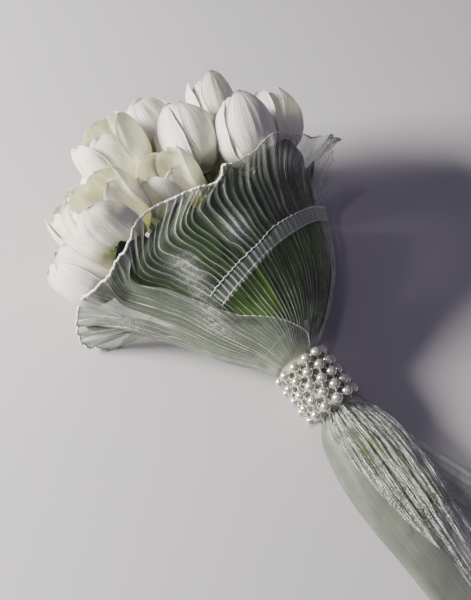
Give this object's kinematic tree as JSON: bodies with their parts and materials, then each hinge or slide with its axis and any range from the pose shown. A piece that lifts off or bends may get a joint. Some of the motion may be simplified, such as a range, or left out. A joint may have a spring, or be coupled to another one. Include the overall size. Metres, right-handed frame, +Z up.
{
  "type": "hand-tied bouquet",
  "caption": "Hand-tied posy of white tulips lying on its side, wrapped in a flared pleated sheer organza cone gathered by a woven faux-pearl band, with loose fabric tails over the stems.",
  "frame": {"origin": "middle of the whole object's box in X and Y, on the table surface it lies on", "axes": "+X runs from the blooms to the tails, +Z is up, +Y is to the left when looking along +X"},
  "size_m": [0.3696, 0.1852, 0.1065],
  "materials": {
    "petals": "soft matte waxy petal, white to cream with a yellow-green base",
    "stems": "smooth pale green tulip stem",
    "leaves": "waxy deep green leaf with fine lengthwise veins",
    "organza": "sheer pleated organza with a soft sheen",
    "pearls": "glossy nacre-coated bead"
  },
  "bodies": {
    "root": {"tulip_bloom_1": "petals", "tulip_bloom_2": "petals", "tulip_bloom_3": "petals", "tulip_bloom_4": "petals", "tulip_bloom_5": "petals", "tulip_bloom_6": "petals", "tulip_bloom_7": "petals", "tulip_bloom_8": "petals", "tulip_bloom_9": "petals", "tulip_bloom_10": "petals", "tulip_bloom_11": "petals", "tulip_bloom_12": "petals", "tulip_bloom_13": "petals", "tulip_bloom_14": "petals", "tulip_bloom_15": "petals", "tulip_stem_1": "stems", "tulip_stem_2": "stems", "tulip_stem_3": "stems", "tulip_stem_4": "stems", "tulip_stem_5": "stems", "tulip_stem_6": "stems", "tulip_stem_7": "stems", "tulip_stem_8": "stems", "tulip_stem_9": "stems", "tulip_stem_10": "stems", "tulip_stem_11": "stems", "tulip_stem_12": "stems", "tulip_stem_13": "stems", "tulip_stem_14": "stems", "tulip_stem_15": "stems", "tulip_leaf_1": "leaves", "tulip_leaf_2": "leaves", "tulip_leaf_3": "leaves", "tulip_leaf_4": "leaves", "tulip_leaf_5": "leaves", "tulip_leaf_6": "leaves", "tulip_leaf_7": "leaves", "organza_top_panel": "organza", "organza_left_flap": "organza", "organza_under_panel": "organza", "organza_collar": "organza", "pearl_row_1": "pearls", "pearl_row_2": "pearls", "pearl_row_3": "pearls", "pearl_row_4": "pearls", "pearl_row_5": "pearls"}
  },
  "joints": []
}
